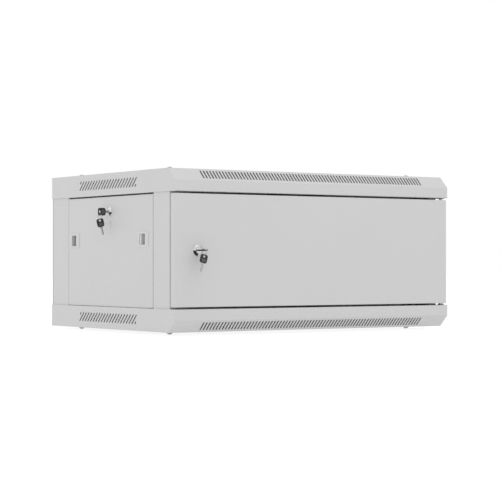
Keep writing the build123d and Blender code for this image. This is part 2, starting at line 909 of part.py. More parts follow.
def lock_cam(plane):
    """Cam plate with its nut, which stands on the plug's stud."""
    tip_y = -cam_length + cam_width / 2
    with BuildPart() as cam:
        with BuildSketch(plane.offset(-barrel_length - seat_gap)):
            with Locations((0, tip_y / 2)):
                SlotCenterToCenter(-tip_y, cam_width, rotation=90)
            Circle(cam_stud_radius + thread_gap, mode=Mode.SUBTRACT)
        extrude(amount=-cam_thickness)
        with BuildSketch(plane.offset(-barrel_length - seat_gap - cam_thickness)):
            RegularPolygon(cam_cap_radius, 6)
            Circle(cam_stud_radius + thread_gap, mode=Mode.SUBTRACT)
        extrude(amount=-cam_cap_height)
    return cam


def key_blade(plane):
    """Flat blade that reaches from inside the bow to its pointed tip."""
    with BuildPart() as blade:
        with BuildSketch(Plane(plane.origin, x_dir=plane.x_dir, z_dir=-plane.y_dir)):
            with BuildLine():
                Polyline(
                    (-blade_width / 2, bow_start),
                    (-blade_width / 2, -blade_tip + blade_width / 2),
                    (0, -blade_tip),
                    (blade_width / 2, -blade_tip + blade_width / 2),
                    (blade_width / 2, bow_start),
                    close=True,
                )
            make_face()
        extrude(amount=blade_thickness / 2, both=True)
    return blade


def key_bow(plane):
    """Moulded plastic head of a key, with an eye near its far end and a sunk field."""
    side_plane = Plane(plane.origin, x_dir=plane.x_dir, z_dir=-plane.y_dir)
    with BuildPart() as bow:
        with BuildSketch(side_plane):
            with Locations((0, bow_start + bow_length / 2)):
                RectangleRounded(bow_width, bow_length, bow_corner)
            with Locations((0, eye_z)):
                RectangleRounded(eye_length, eye_height, eye_corner, mode=Mode.SUBTRACT)
        extrude(amount=bow_thickness / 2, both=True)
        for face in (1, -1):
            with BuildSketch(side_plane.offset(face * bow_thickness / 2)):
                with Locations((0, bow_start + bow_length / 3)):
                    RectangleRounded(bow_field_width, bow_field_length, bow_field_corner)
            extrude(amount=-face * bow_recess, mode=Mode.SUBTRACT)
    return bow


def key_ring(centre):
    """Wire ring in a plane across X."""
    with BuildPart() as ring:
        with BuildSketch(Plane(origin=centre, x_dir=(0, 1, 0), z_dir=(0, 0, 1))):
            with Locations((ring_radius, 0)):
                Circle(ring_wire)
        revolve(axis=Axis(centre, (1, 0, 0)))
    return ring


def spare_plane(ring_centre, lean):
    """Plane of the spare key, which hangs from the lowest point of the ring."""
    up = Vector(lean * sin(radians(spare_tilt)), 0, cos(radians(spare_tilt)))
    across = Vector(cos(radians(spare_tilt)), 0, -lean * sin(radians(spare_tilt)))
    wire = Vector(*ring_centre) - Vector(0, 0, ring_radius)
    return Plane(origin=wire - up * (eye_z + spare_hang), x_dir=across, z_dir=up)


def side_lock_plane(side):
    return Plane(
        origin=(side_x(side, inset), side_lock_y, side_lock_z), x_dir=(0, 0, -1), z_dir=(side, 0, 0)
    )


def save_lock(plane, name, sheet):
    save(lock_housing(plane), f"{name}_lock_housing")
    save(lock_nut(plane, sheet), f"{name}_lock_nut")
    save(lock_plug(plane), f"{name}_lock_plug")
    save(lock_cam(plane), f"{name}_lock_cam")


def save_keys(plane, name, ring_centre, lean):
    spare = spare_plane(ring_centre, lean)
    save(key_blade(plane), f"{name}_key_blade")
    save(key_bow(plane), f"{name}_key_bow")
    save(key_ring(ring_centre), f"{name}_key_ring")
    save(key_blade(spare), f"{name}_spare_key_blade")
    save(key_bow(spare), f"{name}_spare_key_bow")


save_lock(door_lock_plane, "door", door_sheet)
save_lock(side_lock_plane(-1), "left", side_sheet)
save_lock(side_lock_plane(1), "right", side_sheet)

door_ring_centre = (
    side_x(-1, door_lock_from_side) - door_ring_shift,
    door_front_y - eye_z - door_ring_reach,
    -door_ring_drop,
)
left_ring_centre = (side_x(-1, inset - eye_z), side_lock_y, side_lock_z - side_ring_drop)
save_keys(door_lock_plane, "door", door_ring_centre, 1)
save_keys(side_lock_plane(-1), "left", left_ring_centre, -1)


# Slide latches. Each has a plane on the panel's outer face, Z out and X towards its post.


def latch_plane(side, towards):
    latch_y = front_y + front_latch_from_front if towards < 0 else -rear_latch_from_wall
    return Plane(
        origin=(side_x(side, inset), latch_y, latch_z), x_dir=(0, towards, 0), z_dir=(side, 0, 0)
    )


tongue_top = side_panel_depth + 2 * seat_gap + post_sheet
cavity_floor = tongue_top + latch_tongue + seat_gap
cavity_top = latch_floor - seat_gap
cavity_length = latch_body_length - 2 * latch_wall
cavity_height = latch_body_height - 2 * latch_wall
slider_length = cavity_length - latch_travel - 2 * latch_slide_gap
slider_start = -cavity_length / 2 + latch_slide_gap
slider_height = cavity_height - 2 * latch_slide_gap
slider_end = slider_start + slider_length
tongue_end = latch_body_length / 2 + latch_wall


def latch_case(plane):
    with BuildPart() as case:
        with BuildSketch(plane.offset(latch_plate)):
            RectangleRounded(latch_plate_length, latch_plate_height, latch_wall)
        extrude(amount=-latch_plate)
        with BuildSketch(plane):
            Rectangle(latch_body_length, latch_body_height)
        extrude(amount=-cavity_floor - latch_wall)
        with BuildSketch(plane.offset(latch_plate)):
            Rectangle(latch_window, cavity_height)
        extrude(amount=-latch_plate - cavity_top, mode=Mode.SUBTRACT)
        with BuildSketch(plane.offset(-cavity_top)):
            Rectangle(cavity_length, cavity_height)
        extrude(amount=-(cavity_floor - cavity_top), mode=Mode.SUBTRACT)
        with BuildSketch(plane.offset(-tongue_top + latch_slide_gap)):
            with Locations((latch_body_length / 2, 0)):
                Rectangle(4 * latch_wall, latch_tongue_height + 2 * latch_slide_gap)
        extrude(amount=-(cavity_floor - tongue_top + latch_slide_gap), mode=Mode.SUBTRACT)
    return case


def latch_slider(plane):
    """Slider with a raised grip, a pocket beside it and the tongue that goes behind the post."""
    grip_start = latch_slide_gap - latch_window / 2
    grip_end = grip_start + latch_grip
    with BuildPart() as slider:
        with BuildSketch(plane.offset(-latch_floor)):
            with Locations((slider_start + slider_length / 2, 0)):
                Rectangle(slider_length, slider_height)
        extrude(amount=-(cavity_floor - latch_floor - latch_slide_gap))
        with BuildSketch(plane.offset(-tongue_top)):
            with Locations(((slider_end + tongue_end) / 2 - latch_wall / 2, 0)):
                Rectangle(tongue_end - slider_end + latch_wall, latch_tongue_height)
        extrude(amount=-latch_tongue)
        with BuildSketch(plane.offset(-latch_floor)):
            with Locations(((grip_start + grip_end) / 2, 0)):
                Rectangle(latch_grip, slider_height)
        extrude(amount=latch_grip_height)
        with BuildSketch(plane.offset(-latch_floor)):
            with Locations(((grip_end + slider_end - latch_rib) / 2, 0)):
                Rectangle(slider_end - latch_rib - grip_end, slider_height)
        extrude(amount=-latch_pocket_depth, mode=Mode.SUBTRACT)
    return slider


for side, side_name in side_names.items():
    front_case = latch_case(latch_plane(side, -1))
    rear_case = latch_case(latch_plane(side, 1))
    with BuildPart() as latch_cases:
        add(front_case.part)
        add(rear_case.part)
    save(latch_cases, f"{side_name}_latch_cases")
    save(latch_slider(latch_plane(side, -1)), f"{side_name}_front_latch_slider")
    save(latch_slider(latch_plane(side, 1)), f"{side_name}_rear_latch_slider")


# Side panels


def side_panel(side):
    panel_length = panel_rear_y - panel_front_y - 2 * side_panel_end_gap
    low_z = -skirt_z + side_panel_foot_gap
    high_z = skirt_z - side_panel_head_gap
    plane = Plane(
        origin=(side_x(side, inset), side_lock_y, (low_z + high_z) / 2),
        x_dir=(0, side, 0),
        z_dir=(side, 0, 0),
    )
    pan = tray(
        plane,
        panel_length,
        high_z - low_z,
        side_panel_depth,
        side_sheet,
        side_panel_lip,
        side_sheet,
    )
    with BuildPart() as panel:
        add(pan)
        for towards in (-1, 1):
            with BuildSketch(latch_plane(side, towards)):
                Rectangle(latch_body_length + hole_clearance, latch_body_height + hole_clearance)
            extrude(amount=-2 * side_sheet, mode=Mode.SUBTRACT)
        with BuildSketch(side_lock_plane(side)):
            Circle(barrel_radius + hole_clearance)
        extrude(amount=-2 * side_sheet, mode=Mode.SUBTRACT)
    return panel


for side, side_name in side_names.items():
    save(side_panel(side), f"{side_name}_side_panel")
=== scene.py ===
import bmesh
import bpy
import json
import math
import numpy as np
from mathutils import Euler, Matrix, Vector


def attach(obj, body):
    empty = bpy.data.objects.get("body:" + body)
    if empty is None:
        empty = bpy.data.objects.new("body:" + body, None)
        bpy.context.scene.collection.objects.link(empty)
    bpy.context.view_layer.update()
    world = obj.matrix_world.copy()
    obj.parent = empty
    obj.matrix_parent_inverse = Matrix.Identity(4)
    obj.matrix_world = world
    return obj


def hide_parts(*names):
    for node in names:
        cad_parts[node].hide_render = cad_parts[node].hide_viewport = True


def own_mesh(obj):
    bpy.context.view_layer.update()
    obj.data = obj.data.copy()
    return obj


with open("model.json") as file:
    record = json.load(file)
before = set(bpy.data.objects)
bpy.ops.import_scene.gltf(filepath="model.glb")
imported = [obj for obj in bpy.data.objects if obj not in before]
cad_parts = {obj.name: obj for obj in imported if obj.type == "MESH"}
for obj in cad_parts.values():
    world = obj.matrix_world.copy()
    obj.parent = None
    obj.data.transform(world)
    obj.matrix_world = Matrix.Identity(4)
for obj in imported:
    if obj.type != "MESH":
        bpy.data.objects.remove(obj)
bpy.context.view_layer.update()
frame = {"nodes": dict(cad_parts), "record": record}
nodes = frame["nodes"]
print("frame loaded:", len(nodes), "nodes")

scene = bpy.context.scene
scene.view_settings.view_transform = "Standard"

# The camera was solved from the photograph with the cabinet's width held.
photoCamera = {
    "place": (-1.809609, -2.932740, -0.023591),  # metres
    "yaw": 33.807,                               # degrees to the right of +Y
    "pitch": 0.471,                              # degrees up
    "lens": 123.753,                             # mm on a 36 mm sensor
}
cameraData = bpy.data.cameras.new("photoCamera")
cameraData.lens = photoCamera["lens"]
cameraData.sensor_width = 36.0
cameraData.clip_end = 60.0
camera = bpy.data.objects.new("photoCamera", cameraData)
camera.location = photoCamera["place"]
camera.rotation_euler = Euler(
    (math.radians(90 + photoCamera["pitch"]), 0, -math.radians(photoCamera["yaw"])), "XYZ")
scene.collection.objects.link(camera)
scene.camera = camera
print("camera set")


# Node materials. All patterns read Object coordinates in metres.
def newMaterial(name):
    # a material with its node tree and its Principled shader
    material = bpy.data.materials.new(name)
    material.use_nodes = True
    tree = material.node_tree
    shader = tree.nodes["Principled BSDF"]
    return material, tree, shader


def addNoise(tree, scale, detail=3.0, roughness=0.5, stretch=(1, 1, 1)):
    # noise of so many cells per metre; a stretch above 1 makes the cells shorter along that axis
    coordinates = tree.nodes.new("ShaderNodeTexCoord")
    mapping = tree.nodes.new("ShaderNodeMapping")
    mapping.inputs["Scale"].default_value = stretch
    noise = tree.nodes.new("ShaderNodeTexNoise")
    noise.inputs["Scale"].default_value = scale
    noise.inputs["Detail"].default_value = detail
    noise.inputs["Roughness"].default_value = roughness
    tree.links.new(coordinates.outputs["Object"], mapping.inputs["Vector"])
    tree.links.new(mapping.outputs["Vector"], noise.inputs["Vector"])
    return noise.outputs["Fac"]


def addRange(tree, source, low, high, lowOut, highOut):
    # lowOut + (source - low) / (high - low) * (highOut - lowOut), held between the two
    span = tree.nodes.new("ShaderNodeMapRange")
    span.inputs["From Min"].default_value = low
    span.inputs["From Max"].default_value = high
    span.inputs["To Min"].default_value = lowOut
    span.inputs["To Max"].default_value = highOut
    tree.links.new(source, span.inputs["Value"])
    return span.outputs["Result"]


def addTone(tree, shader, source, darker, lighter):
    # colour between darker and lighter as the source goes from 0.35 to 0.65
    ramp = tree.nodes.new("ShaderNodeValToRGB")
    ramp.color_ramp.elements[0].position = 0.35
    ramp.color_ramp.elements[0].color = (*darker, 1)
    ramp.color_ramp.elements[1].position = 0.65
    ramp.color_ramp.elements[1].color = (*lighter, 1)
    tree.links.new(source, ramp.inputs["Fac"])
    tree.links.new(ramp.outputs["Color"], shader.inputs["Base Color"])


def addBump(tree, shader, source, strength, distance):
    # the source as a relief, distance in metres
    bump = tree.nodes.new("ShaderNodeBump")
    bump.inputs["Strength"].default_value = strength
    bump.inputs["Distance"].default_value = distance
    tree.links.new(source, bump.inputs["Height"])
    tree.links.new(bump.outputs["Normal"], shader.inputs["Normal"])


powderCoat = {
    "tone": (0.607, 0.607, 0.605),  # light grey
    "spread": 0.004,                # how much the tone wanders
    "roughness": 0.42,
    "grain": 900.0,                 # orange peel, cells per metre
    "relief": 0.00003,
}


def makePowderCoat():
    # even paint: tone that wanders by the spread, orange peel and a slightly uneven gloss
    material, tree, shader = newMaterial("greyPowderCoat")
    tone = powderCoat["tone"]
    spread = powderCoat["spread"]
    addTone(tree, shader, addNoise(tree, 7.0, 4.0),
            tuple(c - spread for c in tone), tuple(c + spread for c in tone))
    grain = addNoise(tree, powderCoat["grain"], 2.0, 0.6)
    addBump(tree, shader, grain, 0.35, powderCoat["relief"])
    tree.links.new(
        addRange(tree, addNoise(tree, 60.0, 3.0), 0.3, 0.7,
                 powderCoat["roughness"] - 0.04, powderCoat["roughness"] + 0.05),
        shader.inputs["Roughness"])
    shader.inputs["Specular IOR Level"].default_value = 0.35
    return material


def makePlate(name, tone, low, high, scale, stretch=(1, 1, 1), relief=0.00003):
    # plated metal: clouded tone, roughness from low to high and a fine rolled relief
    material, tree, shader = newMaterial(name)
    shader.inputs["Metallic"].default_value = 1.0
    cloud = addNoise(tree, scale, 4.0, 0.6, stretch)
    addTone(tree, shader, cloud, tuple(c * 0.86 for c in tone), tone)
    tree.links.new(addRange(tree, cloud, 0.3, 0.7, low, high), shader.inputs["Roughness"])
    addBump(tree, shader, addNoise(tree, scale * 9, 2.0, 0.5, stretch), 0.25, relief)
    return material


def makePlastic(name, tone, roughness, grain, relief):
    # moulded plastic: faint tone change and spark-eroded grain
    material, tree, shader = newMaterial(name)
    addTone(tree, shader, addNoise(tree, 40.0, 3.0),
            tuple(c * 0.94 for c in tone), tuple(c * 1.05 for c in tone))
    addBump(tree, shader, addNoise(tree, grain, 2.0, 0.6), 0.4, relief)
    tree.links.new(
        addRange(tree, addNoise(tree, 200.0, 2.0), 0.3, 0.7, roughness - 0.05, roughness + 0.05),
        shader.inputs["Roughness"])
    return material


keyPlastic = {
    "rim": (0.016, 0.016, 0.018),
    "field": (0.080, 0.080, 0.082),  # the sunk field of a key head, paler than the rim
    "roughness": 0.42,
    "grain": 1800.0,                 # spark-eroded grain, cells per metre
    "relief": 0.00006,
}


def makeKeyPlastic():
    # moulded plastic that goes from rim to field tone as the mesh's own mark goes from 0 to 1
    material = makePlastic("keyPlastic", keyPlastic["rim"], keyPlastic["roughness"],
                           keyPlastic["grain"], keyPlastic["relief"])
    tree = material.node_tree
    colour = tree.nodes["Principled BSDF"].inputs["Base Color"]
    mark = tree.nodes.new("ShaderNodeAttribute")
    mark.attribute_name = "sunkField"
    blend = tree.nodes.new("ShaderNodeMix")
    blend.data_type = "RGBA"
    rimTone = colour.links[0].from_socket
    tree.links.new(mark.outputs["Fac"], blend.inputs[0])
    tree.links.new(rimTone, blend.inputs[6])  # colour A
    blend.inputs[7].default_value = (*keyPlastic["field"], 1)  # colour B
    tree.links.new(blend.outputs[2], colour)  # colour result
    return material


greyPowderCoat = makePowderCoat()
zincPlate = makePlate("zincPlate", (0.44, 0.45, 0.46), 0.26, 0.40, 260.0)
lockChrome = makePlate("lockChrome", (0.66, 0.665, 0.675), 0.05, 0.10, 500.0, relief=0.000004)
keyNickel = makePlate("keyNickel", (0.56, 0.56, 0.56), 0.26, 0.40, 420.0, (1, 1, 6), 0.00002)
blackPlastic = makeKeyPlastic()
latchPlastic = makePlastic("latchPlastic", (0.62, 0.62, 0.62), 0.42, 1500.0, 0.00004)
blackRubber = makePlastic("blackRubber", (0.018, 0.018, 0.018), 0.75, 900.0, 0.00010)
print("materials made")

slotMaterials = {
    "grey_paint": greyPowderCoat,
    "zinc_plate": zincPlate,
    "lock_chrome": lockChrome,
    "key_steel": keyNickel,
    "black_plastic": blackPlastic,
    "grey_plastic": latchPlastic,
    "black_rubber": blackRubber,
}
for part in frame["record"]["subparts"]:
    carried = nodes[part["node"]]
    carried.data.materials.clear()
    carried.data.materials.append(slotMaterials[part["material_slot"]])


# Surfaces
def surface(grid, closedRows, closedColumns):
    # joins a grid of points, rows by columns, into four-sided faces, wrapping where it is closed
    rows, columns = grid.shape[:2]
    a = np.arange(rows if closedRows else rows - 1)
    b = np.arange(columns if closedColumns else columns - 1)
    r, c = np.meshgrid(a, b, indexing="ij")
    nextRow = (r + 1) % rows
    nextColumn = (c + 1) % columns
    corners = np.stack([r * columns + c, nextRow * columns + c,
                        nextRow * columns + nextColumn, r * columns + nextColumn], axis=-1)
    return grid.reshape(-1, 3), corners.reshape(-1, 4)


def makePiece(name, surfaces, material, body, instead, smoothAngle=40.0):
    # one object from several surfaces, in place of CAD nodes: doubles merged, faces outwards
    points, faces, count = [], [], 0
    for shapePoints, shapeFaces in surfaces:
        points.append(shapePoints)
        faces.append(shapeFaces + count)
        count += len(shapePoints)
    mesh = bpy.data.meshes.new(name)
    mesh.from_pydata(np.concatenate(points).tolist(), [], np.concatenate(faces).tolist())
    shell = bmesh.new()
    shell.from_mesh(mesh)
    bmesh.ops.remove_doubles(shell, verts=shell.verts, dist=1e-7)
    bmesh.ops.dissolve_degenerate(shell, edges=shell.edges, dist=1e-8)
    bmesh.ops.recalc_face_normals(shell, faces=shell.faces)
    shell.to_mesh(mesh)
    shell.free()
    mesh.materials.append(material)
    mesh.shade_smooth()
    mesh.set_sharp_from_angle(angle=math.radians(smoothAngle))
    piece = bpy.data.objects.new(name, mesh)
    scene.collection.objects.link(piece)
    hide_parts(*instead)
    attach(piece, body)
    return piece


class Place:
    # a local frame: a point is origin + a * right + b * up + c * out
    def __init__(self, origin, right, out):
        self.origin = np.array(origin, float)
        self.right = np.array(right, float)
        self.out = np.array(out, float)
        self.up = np.cross(self.out, self.right)

    def put(self, a, b, c):
        a, b, c = np.broadcast_arrays(a, b, c)
        return (self.origin + a[..., None] * self.right + b[..., None] * self.up
                + c[..., None] * self.out)


def turned(place, radius, heightAlong, around):
    # each point of the profile (radius, height) goes round the frame's out axis
    angle = np.linspace(0, 2 * math.pi, around, endpoint=False)[None, :]
    radius = np.asarray(radius, float)
    heightAlong = np.asarray(heightAlong, float)
    if radius.ndim == 1:
        radius = radius[:, None] * np.ones_like(angle)
    if heightAlong.ndim == 1:
        heightAlong = heightAlong[:, None] * np.ones_like(angle)
    grid = place.put(radius * np.cos(angle), radius * np.sin(angle), heightAlong)
    return surface(grid, False, True)


def tube(path, wire, sides=10):
    # a circle of the wire's radius carried along the path, square to it, with its ends closed
    along = np.gradient(path, axis=0)
    along /= np.linalg.norm(along, axis=1)[:, None]
    guide = np.array([0.31, 0.22, 0.93])
    side = np.cross(along, guide)
    side /= np.linalg.norm(side, axis=1)[:, None]
    other = np.cross(along, side)
    angle = np.linspace(0, 2 * math.pi, sides, endpoint=False)
    grid = (path[:, None, :] + wire * np.cos(angle)[None, :, None] * side[:, None, :]
            + wire * np.sin(angle)[None, :, None] * other[:, None, :])
    shapes = [surface(grid, False, True)]
    for end in (0, -1):
        middle = np.repeat(path[end][None, :], sides, axis=0)
        shapes.append(surface(np.stack([middle, grid[end]]), False, True))
    return shapes


def smoothStep(value):
    # 0 below 0, 1 above 1, and 3 v^2 - 2 v^3 between
    value = np.clip(value, 0, 1)
    return value * value * (3 - 2 * value)


# Screws with a domed head and a cross recess, in metres
domeScrew = {
    "radius": 0.00625, "height": 0.0056,                  # head
    "cross": 0.0030, "blade": 0.00062, "recess": 0.0022,  # half length, half width, depth
    "shank": 0.0029, "length": 0.009, "pitch": 0.0010, "thread": 0.0003,
}
panScrew = {
    "radius": 0.0045, "height": 0.0030,
    "cross": 0.0024, "blade": 0.00050, "recess": 0.0016,
    "shank": 0.0025, "length": 0.008, "pitch": 0.0008, "thread": 0.0003,
}


def crossScrew(place, sizes, length=None):
    # head: a cap of a sphere less a cross-shaped pit
    # shank: a radius that saws with height and angle, smooth just under the head
    length = sizes["length"] if length is None else length
    around, rings = 64, 40
    angle = np.linspace(0, 2 * math.pi, around, endpoint=False)[None, :]
    radius = sizes["radius"] * np.linspace(0, 1, rings)[:, None]
    curve = (sizes["radius"] ** 2 + sizes["height"] ** 2) / (2 * sizes["height"])
    cap = np.sqrt(np.maximum(curve**2 - radius**2, 0)) - (curve - sizes["height"])
    x = radius * np.cos(angle)
    y = radius * np.sin(angle)
    across = np.minimum(np.abs(x), np.abs(y))
    along = np.maximum(np.abs(x), np.abs(y))
    soft = sizes["blade"] * 0.5
    pit = smoothStep((sizes["blade"] + soft - across) / soft)
    pit = pit * smoothStep((sizes["cross"] - along) / (sizes["cross"] * 0.45))
    head = surface(place.put(x, y, np.maximum(cap, 0) - sizes["recess"] * pit), False, True)
    turns = max(int(length / sizes["pitch"] * 6), 12)
    depthAlong = -np.linspace(0, length, turns)[:, None]
    saw = np.abs(((depthAlong / sizes["pitch"] + angle / (2 * math.pi)) % 1) - 0.5) * 2
    groove = sizes["thread"] * smoothStep(-depthAlong / 0.0012)
    threaded = sizes["shank"] - groove * saw
    shank = surface(
        place.put(threaded * np.cos(angle), threaded * np.sin(angle), depthAlong), False, True)
    rim = turned(place, [sizes["radius"], sizes["shank"]], [0, 0], around)
    tip = turned(place, np.array([threaded[-1], threaded[-1] * 0]),
                 np.array([-length, -length]), around)
    return [head, rim, shank, tip]


# Where the screws are in metres, mirrored from side to side and from top to bottom
screwPlaces = {
    "coverTop": 0.1405, "domeX": 0.263, "domeY": (-0.372, -0.051),
    "blankX": 0.130, "blankY": -0.062, "blankLength": 0.006,
    "railZ": 0.121, "rackX": 0.2445, "rackY": (-0.362, -0.118), "rackLength": 0.009,
    "postX": 0.265, "frontPostY": -0.430, "rearPostY": -0.0045, "rearPostLength": 0.00295,
}

coverScrewShapes = []
for sign in (-1, 1):
    for y in screwPlaces["domeY"]:
        for level in (1, -1):
            coverScrewShapes += crossScrew(
                Place((sign * screwPlaces["domeX"], y, level * screwPlaces["coverTop"]),
                      (1, 0, 0), (0, 0, level)), domeScrew)
makePiece("coverScrewsTurned", coverScrewShapes, zincPlate, "cabinet",
          ("cover_screws",), 35)

blankScrewShapes = []
for sign in (-1, 1):
    for level in (1, -1):
        blankScrewShapes += crossScrew(
            Place((sign * screwPlaces["blankX"], screwPlaces["blankY"],
                   level * screwPlaces["coverTop"]), (1, 0, 0), (0, 0, level)),
            panScrew, screwPlaces["blankLength"])
makePiece("blankScrewsTurned", blankScrewShapes, zincPlate, "cabinet",
          ("blank_screws",), 35)

frameScrewShapes = []
for sign in (-1, 1):
    for level in (1, -1):
        z = level * screwPlaces["railZ"]
        for y in screwPlaces["rackY"]:
            frameScrewShapes += crossScrew(
                Place((sign * screwPlaces["rackX"], y, z), (0, 1, 0), (-sign, 0, 0)),
                panScrew, screwPlaces["rackLength"])
        frameScrewShapes += crossScrew(
            Place((sign * screwPlaces["postX"], screwPlaces["frontPostY"], z),
                  (1, 0, 0), (0, -1, 0)), panScrew)
        frameScrewShapes += crossScrew(
            Place((sign * screwPlaces["postX"], screwPlaces["rearPostY"], z),
                  (1, 0, 0), (0, -1, 0)), panScrew, screwPlaces["rearPostLength"])
makePiece("frameScrewsTurned", frameScrewShapes, zincPlate, "cabinet",
          ("frame_screws",), 35)
print("screws made")


# Cam locks
camLock = {
    "bezel": 0.0098, "rim": 0.0032,                    # outer radius, height of the face
    "shoulder": 0.0038, "drop": 0.0030, "curl": 0.12,  # its width, fall and roundness
    "plug": 0.0056, "gap": 0.00005,                    # the bore is the sum of both
    "dish": 0.0003, "lip": 0.0003,                     # depth and width of its edge
    "barrel": 0.0080, "length": 0.0215, "flat": 0.0070, "flatFrom": 0.0012,
    "pitch": 0.00125, "thread": 0.0004, "threadFrom": 0.002,
}
lockSpots = {
    "door": (-0.2534, -0.4495, 0),
    "left": (-0.2982, -0.2195, 0.0706),
    "right": (0.2982, -0.2195, 0.0706),
}
lockPlaces = {
    "door": Place(lockSpots["door"], (1, 0, 0), (0, -1, 0)),
    "left": Place(lockSpots["left"], (0, 0, -1), (-1, 0, 0)),
    "right": Place(lockSpots["right"], (0, 0, -1), (1, 0, 0)),
}
lockBodies = {"door": "door", "left": "left_panel", "right": "right_panel"}


def lockHousing(place):
    # one closed section turned round the axis: bore, dished face, shoulder, threaded barrel
    s = camLock
    around = 72
    angle = np.linspace(0, 2 * math.pi, around, endpoint=False)[None, :]
    bore = s["plug"] + s["gap"]
    along = np.linspace(0, 1, 14)
    # shoulder: nearly a cone from the face down to the rim, steeper at its foot
    rimRadius = s["bezel"] - s["shoulder"] * (1 - along)
    rimHeight = s["rim"] - s["drop"] * ((1 - s["curl"]) * along + s["curl"] * along ** 4)
    face = np.array([[bore, s["rim"] - s["dish"]], [bore + s["lip"], s["rim"]]])
    steps = int(s["length"] / s["pitch"] * 6)
    barrelHeight = -np.linspace(0, s["length"], steps)
    lead = np.concatenate([face, np.stack([rimRadius, rimHeight], 1), [[s["bezel"], 0.0]]])
    saw = np.abs(((barrelHeight[:, None] / s["pitch"] + angle / (2 * math.pi)) % 1) - 0.5) * 2
    depth = s["thread"] * smoothStep(-barrelHeight[:, None] / s["threadFrom"])
    barrel = s["barrel"] - depth * saw
    flats = s["flat"] / np.maximum(np.abs(np.sin(angle)), 1e-6)
    barrel = np.where(barrelHeight[:, None] < -s["flatFrom"], np.minimum(barrel, flats), barrel)
    radius = np.concatenate([lead[:, 0][:, None] * np.ones_like(angle), barrel,
                             np.full((1, around), bore)])
    height = np.concatenate([lead[:, 1], barrelHeight, [-s["length"]]])[:, None]
    grid = place.put(radius * np.cos(angle), radius * np.sin(angle), height)
    return [surface(grid, True, True)]


for name, place in lockPlaces.items():
    makePiece(name + "LockBody", lockHousing(place), lockChrome, lockBodies[name],
              (name + "_lock_housing",), 38)
print("locks made")


# Keys: a notched blade, a moulded head with an eye, and a split ring. Heights run along the
# key from the lock's mounting face; the eye lies at keyEye.
keyPlan = {
    "bladeWidth": 0.0050, "bladeThickness": 0.0019, "tip": 0.0074, "point": 0.0025,
    "notches": ((0.0040, 0.0005), (0.0016, 0.0010), (-0.0008, 0.0007), (-0.0032, 0.0010)),
    "notchReach": 0.0014,
    "bowStart": 0.0076, "bowLength": 0.0150, "bowWidth": 0.0138, "bowThickness": 0.0026,
    "bowCorner": 0.0035, "edgeRound": 0.0007, "lipRound": 0.0003,
    "eyeLength": 0.0042, "spareEye": 0.0050, "eyeHeight": 0.0035, "eyeCorner": 0.0008,
    "eyeFromEnd": 0.0034,
    "recess": 0.0004, "recessEdge": 0.0005,
    "fieldWidth": 0.0086, "fieldLength": 0.0062, "fieldCorner": 0.0020,
    "tilt": 15.0,                               # degrees that the spare key leans
}
keyRing = {
    "radius": 0.0060, "wire": 0.00024, "turns": 1.93, "start": 2.4, "apart": 0.00042,
    "hang": 0.0012,                             # from the ring's lowest point to the eye
    "doorCentre": (-0.0021, -0.0045, -0.0034),  # from the eye of the key in the door
    "leftCentre": (0.0, 0.0, -0.0088),          # from the eye of the key in the left side
}
keyEye = keyPlan["bowStart"] + keyPlan["bowLength"] - keyPlan["eyeFromEnd"]
bowMiddle = keyPlan["bowStart"] + keyPlan["bowLength"] / 2 - keyEye


def roundedOutline(halfX, halfY, corner, middleY, angle):
    # distance from the eye's centre to a rounded rectangle, in each direction
    turn = np.linspace(0, math.pi / 2, 24)
    xs, ys = [], []
    for quarter, (sx, sy) in enumerate(((1, 1), (-1, 1), (-1, -1), (1, -1))):
        t = turn + quarter * math.pi / 2
        xs.append(sx * (halfX - corner) + corner * np.cos(t))
        ys.append(sy * (halfY - corner) + corner * np.sin(t))
    x = np.concatenate(xs)
    y = np.concatenate(ys) + middleY
    steps = np.linspace(0, 1, 12, endpoint=False)[None, :]
    fineX = (x[:, None] + (np.roll(x, -1) - x)[:, None] * steps).ravel()
    fineY = (y[:, None] + (np.roll(y, -1) - y)[:, None] * steps).ravel()
    direction = np.arctan2(fineY, fineX)
    order = np.argsort(direction)
    return np.interp(angle, direction[order], np.hypot(fineX, fineY)[order],
                     period=2 * math.pi)


def fieldDepth(x, y):
    # 0 outside the rounded field and 1 inside it, rising over recessEdge from its outline
    s = keyPlan
    pastX = np.abs(x) - s["fieldWidth"] / 2 + s["fieldCorner"]
    pastY = np.abs(y - (bowMiddle - s["bowLength"] / 6)) - s["fieldLength"] / 2 + s["fieldCorner"]
    inside = s["fieldCorner"] - np.hypot(np.maximum(pastX, 0), np.maximum(pastY, 0))
    inside = np.where((pastX < 0) & (pastY < 0), s["fieldCorner"], inside)
    return smoothStep(inside / s["recessEdge"])


def markField(piece, place):
    # the mark that the plastic reads: the field's depth on both faces, 0 round the edge
    mesh = piece.data
    points = np.empty(len(mesh.vertices) * 3)
    mesh.vertices.foreach_get("co", points)
    local = points.reshape(-1, 3) - place.origin
    faceHeight = keyPlan["bowThickness"] / 2 - keyPlan["recess"] * 1.1
    mark = fieldDepth(local @ place.right, local @ place.out - keyEye)
    mark = np.where(np.abs(local @ place.up) > faceHeight, mark, 0.0)
    mesh.attributes.new("sunkField", "FLOAT", "POINT").data.foreach_set("value", mark)


